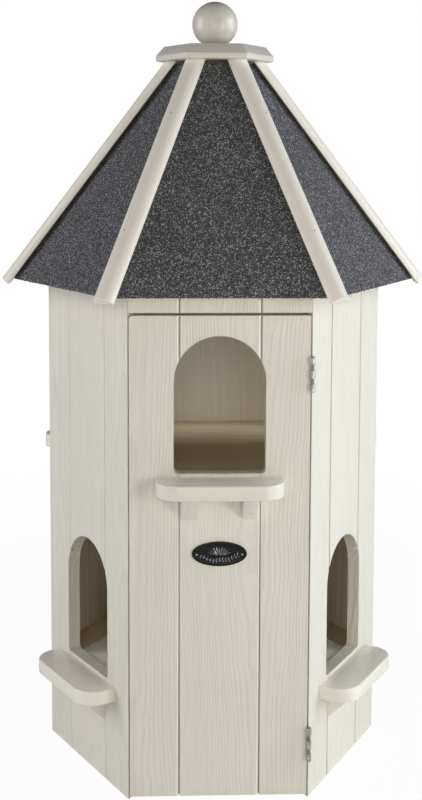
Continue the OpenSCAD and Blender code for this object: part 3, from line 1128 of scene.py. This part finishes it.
# A paler copy of the paint, laid on the grooves' left bevels as a painted highlight
BEVEL_HIGHLIGHT = painted_pine("painted_bevel_highlight", rgb(0.875, 0.855, 0.79), rgb(0.82, 0.79, 0.71), show=0.5, relief=0.4)
SILL = painted_pine("painted_sill", rgb(0.90, 0.87, 0.79), rgb(0.58, 0.52, 0.41), show=1.6, relief=1.6)
# In the order of the boards' slots. On the front's grooves only, a paler paint on each left bevel is a
# painted highlight.
FRONT_FINISH = [PAINT, REVEAL, LINING, SEAM, BEVEL_HIGHLIGHT, SILL]
WALL_FINISH = [PAINT, REVEAL, LINING, SEAM, PAINT, SILL]
SMOOTH = painted_pine("painted_smooth_wood", rgb(0.77, 0.74, 0.645), rgb(0.725, 0.69, 0.595),
                      show=0.3, relief=0.2, gloss=0.27)
# A paler copy of the door perch's paint for the wall perches, as painted light
LIT_SHELF = painted_pine("painted_shelf_lit", rgb(0.845, 0.81, 0.71), rgb(0.80, 0.76, 0.66),
                     show=0.3, relief=0.2, gloss=0.27)
BATTEN_PAINT = painted_pine("painted_batten", rgb(0.87, 0.83, 0.745), rgb(0.78, 0.73, 0.63),
                            show=0.9, relief=0.15, gloss=0.40)
CAP_PAINT = painted_pine("painted_cap", rgb(0.70, 0.665, 0.60), rgb(0.62, 0.58, 0.51),
                         show=0.7, relief=0.4, gloss=0.36)
TURNED = turned_paint("painted_turned_wood", rgb(0.69, 0.65, 0.59), rgb(0.61, 0.57, 0.51))
# The upper floor's wood is painted paler, as painted light, and the lower floor's darker, as painted
# shade
LIT_UPPER_BOARDS = raw_board("upper_floor_wood_lit", rgb(0.88, 0.78, 0.56), rgb(0.60, 0.49, 0.30), 0.0,
                         spray_and_light_fan((0, 2, 4), 75 * MM, 0.25), middle_shade=0.85)
SHADED_LOWER_BOARDS = raw_board("lower_floor_wood_shaded", rgb(0.58, 0.47, 0.29), rgb(0.42, 0.32, 0.18), 1.2,
                         spray_and_light_fan((1, 3, 5), 165 * MM, 0.5))
ROOF_WOOD = [raw_board("roof_board_wood_" + FACES[i], rgb(0.50, 0.39, 0.25), rgb(0.32, 0.22, 0.13),
                       math.radians(60 * i)) for i in range(6)]
FELT = granulated_felt("granulated_felt")
STEEL = plated_steel("zinc_plated_steel")
PIN_STEEL = dark_metal("tarnished_pin", rgb(0.34, 0.29, 0.23), rgb(0.20, 0.16, 0.12), 0.4, 0.6, 0.5)
NAIL = dark_metal("nail_head", rgb(0.26, 0.24, 0.21), rgb(0.12, 0.11, 0.09), 0.4, 0.6, 0.6)
PEWTER = dark_metal("worn_pewter", rgb(0.38, 0.38, 0.385), rgb(0.09, 0.09, 0.093), 0.16, 0.34, 0.95)
ENAMEL = dark_metal("black_enamel", rgb(0.004, 0.004, 0.0045), rgb(0.012, 0.012, 0.013),
                    0.10, 0.24, 0.0, specular=0.2)


def dress_cad_nodes():
    """Floors and roof boards keep their CAD shape and get their finish here."""
    finishes = {"lower_floor": SHADED_LOWER_BOARDS, "upper_floor": LIT_UPPER_BOARDS}
    for i in range(6):
        finishes[FACES[i] + "_roof_board"] = ROOF_WOOD[i]
    for node, material in finishes.items():
        mesh = frame["nodes"][node].data
        mesh.materials.clear()
        mesh.materials.append(material)


# ---------------- studio


def build_floor():
    """A pale floor; the camera sees it almost white, with a little of the object's shadow."""
    n = Nodes("studio_floor")
    spot = n.spot()
    soft = n.noise(spot, 3.0)
    n.finish(n.mix(soft, rgb(0.80, 0.80, 0.80), rgb(0.84, 0.84, 0.84)), 0.6, specular=0.2)
    away = n.ramp(n.vector("LENGTH", spot), *FLOOR_FADE, FLOOR_GLOW, 1.0)
    seen = n.math("MULTIPLY", n.make("ShaderNodeLightPath", "Is Camera Ray", {}), away)
    glow = n.make("ShaderNodeEmission", 0, {})
    blend = n.make("ShaderNodeMixShader", 0, {0: seen, 1: n.shader.outputs[0], 2: glow})
    n.link(blend, n.tree.nodes["Material Output"].inputs["Surface"])
    half = FLOOR_SIZE / 2
    corners = [(-half, -half, 0), (half, -half, 0), (half, half, 0), (-half, half, 0)]
    mesh = bpy.data.meshes.new("studio_floor")
    mesh.from_pydata(corners, [], [(0, 1, 2, 3)])
    mesh.materials.append(n.material)
    floor = new_object("studio_floor", mesh)


# The floor is this white under the object, and wholly white past the second distance
FLOOR_GLOW = 0.96
FLOOR_FADE = (0.45, 1.6)
FLOOR_SIZE = 60.0
SKY = rgb(0.004, 0.012, 0.03)
AIM_Z = 0.5
# Name, azimuth, distance, height, width, tallness, watts, colour
SOFTBOXES = [
    ("softbox_right", 85, 2.0, 0.98, 1.1, 1.5, 30.6, (0.90, 0.95, 1.03)),
    ("softbox_left", -85, 2.0, 1.0, 1.1, 1.5, 25.6, (0.955, 0.95, 0.99)),
    ("softbox_key", 40, 2.0, 0.6, 0.45, 0.6, 10.5, (1.0, 0.974, 0.904)),
    ("softbox_low", 0, 2.0, 0.3, 1.1, 1.5, 11.5, (1.0, 0.953, 0.843)),
    ("softbox_high", -12, 2.0, 1.3, 1.1, 0.8, 5.0, (1.0, 0.95, 0.82)),
]


def add_softbox(name, azimuth, distance, height, width, tall, watts, color):
    """An area light; azimuth 0 is in front of the door, positive to the right."""
    light = bpy.data.lights.new(name, "AREA")
    light.shape = "RECTANGLE"
    light.size = width
    light.size_y = tall
    light.energy = watts
    light.color = color
    lamp = new_object(name, light)
    turn = math.radians(azimuth)
    lamp.location = (distance * math.sin(turn), -distance * math.cos(turn), height)
    aim = Vector((0, 0, AIM_Z)) - lamp.location
    lamp.rotation_euler = aim.to_track_quat("-Z", "Y").to_euler()


def build_world():
    """A dim studio, plain white where the camera looks past the floor."""
    world = bpy.data.worlds.new("studio")
    bpy.context.scene.world = world
    world.use_nodes = True
    tree = world.node_tree
    tree.nodes.clear()
    path, pick, lit, seen, out = (tree.nodes.new("ShaderNode" + kind) for kind in (
        "LightPath", "MixShader", "Background", "Background", "OutputWorld"))
    lit.inputs["Color"].default_value = SKY
    seen.inputs["Color"].default_value = rgb(1, 1, 1)
    tree.links.new(path.outputs["Is Camera Ray"], pick.inputs[0])
    tree.links.new(lit.outputs[0], pick.inputs[1])
    tree.links.new(seen.outputs[0], pick.inputs[2])
    tree.links.new(pick.outputs[0], out.inputs["Surface"])


def build_camera():
    """The camera looks slightly down and stands a little left of the door's middle."""
    distance, height = 1.6127, 0.7591
    azimuth, tilt, roll, pan = (math.radians(a) for a in (-2.248, 5.278, 0.19, 0.142))
    data = bpy.data.cameras.new("camera")
    data.sensor_fit = "AUTO"
    data.sensor_width = 36.0
    data.lens = 56.8
    data.shift_y = -0.1624
    camera = new_object("camera", data)
    place = Matrix.Translation((distance * math.sin(azimuth), -distance * math.cos(azimuth), height))
    turn = (Matrix.Rotation(azimuth + pan, 4, "Z") @ Matrix.Rotation(math.pi / 2 - tilt, 4, "X")
            @ Matrix.Rotation(roll, 4, "Z"))
    camera.matrix_world = place @ turn
    bpy.context.scene.camera = camera


build_camera()
build_walls()
build_header()
build_door()
build_perches()
build_brackets()
build_felt()
build_battens()
build_cap()
build_ball()
build_hinges()
build_plaque()
dress_cad_nodes()
build_floor()
build_world()
for softbox in SOFTBOXES:
    add_softbox(*softbox)
bpy.context.scene.view_settings.view_transform = "Standard"
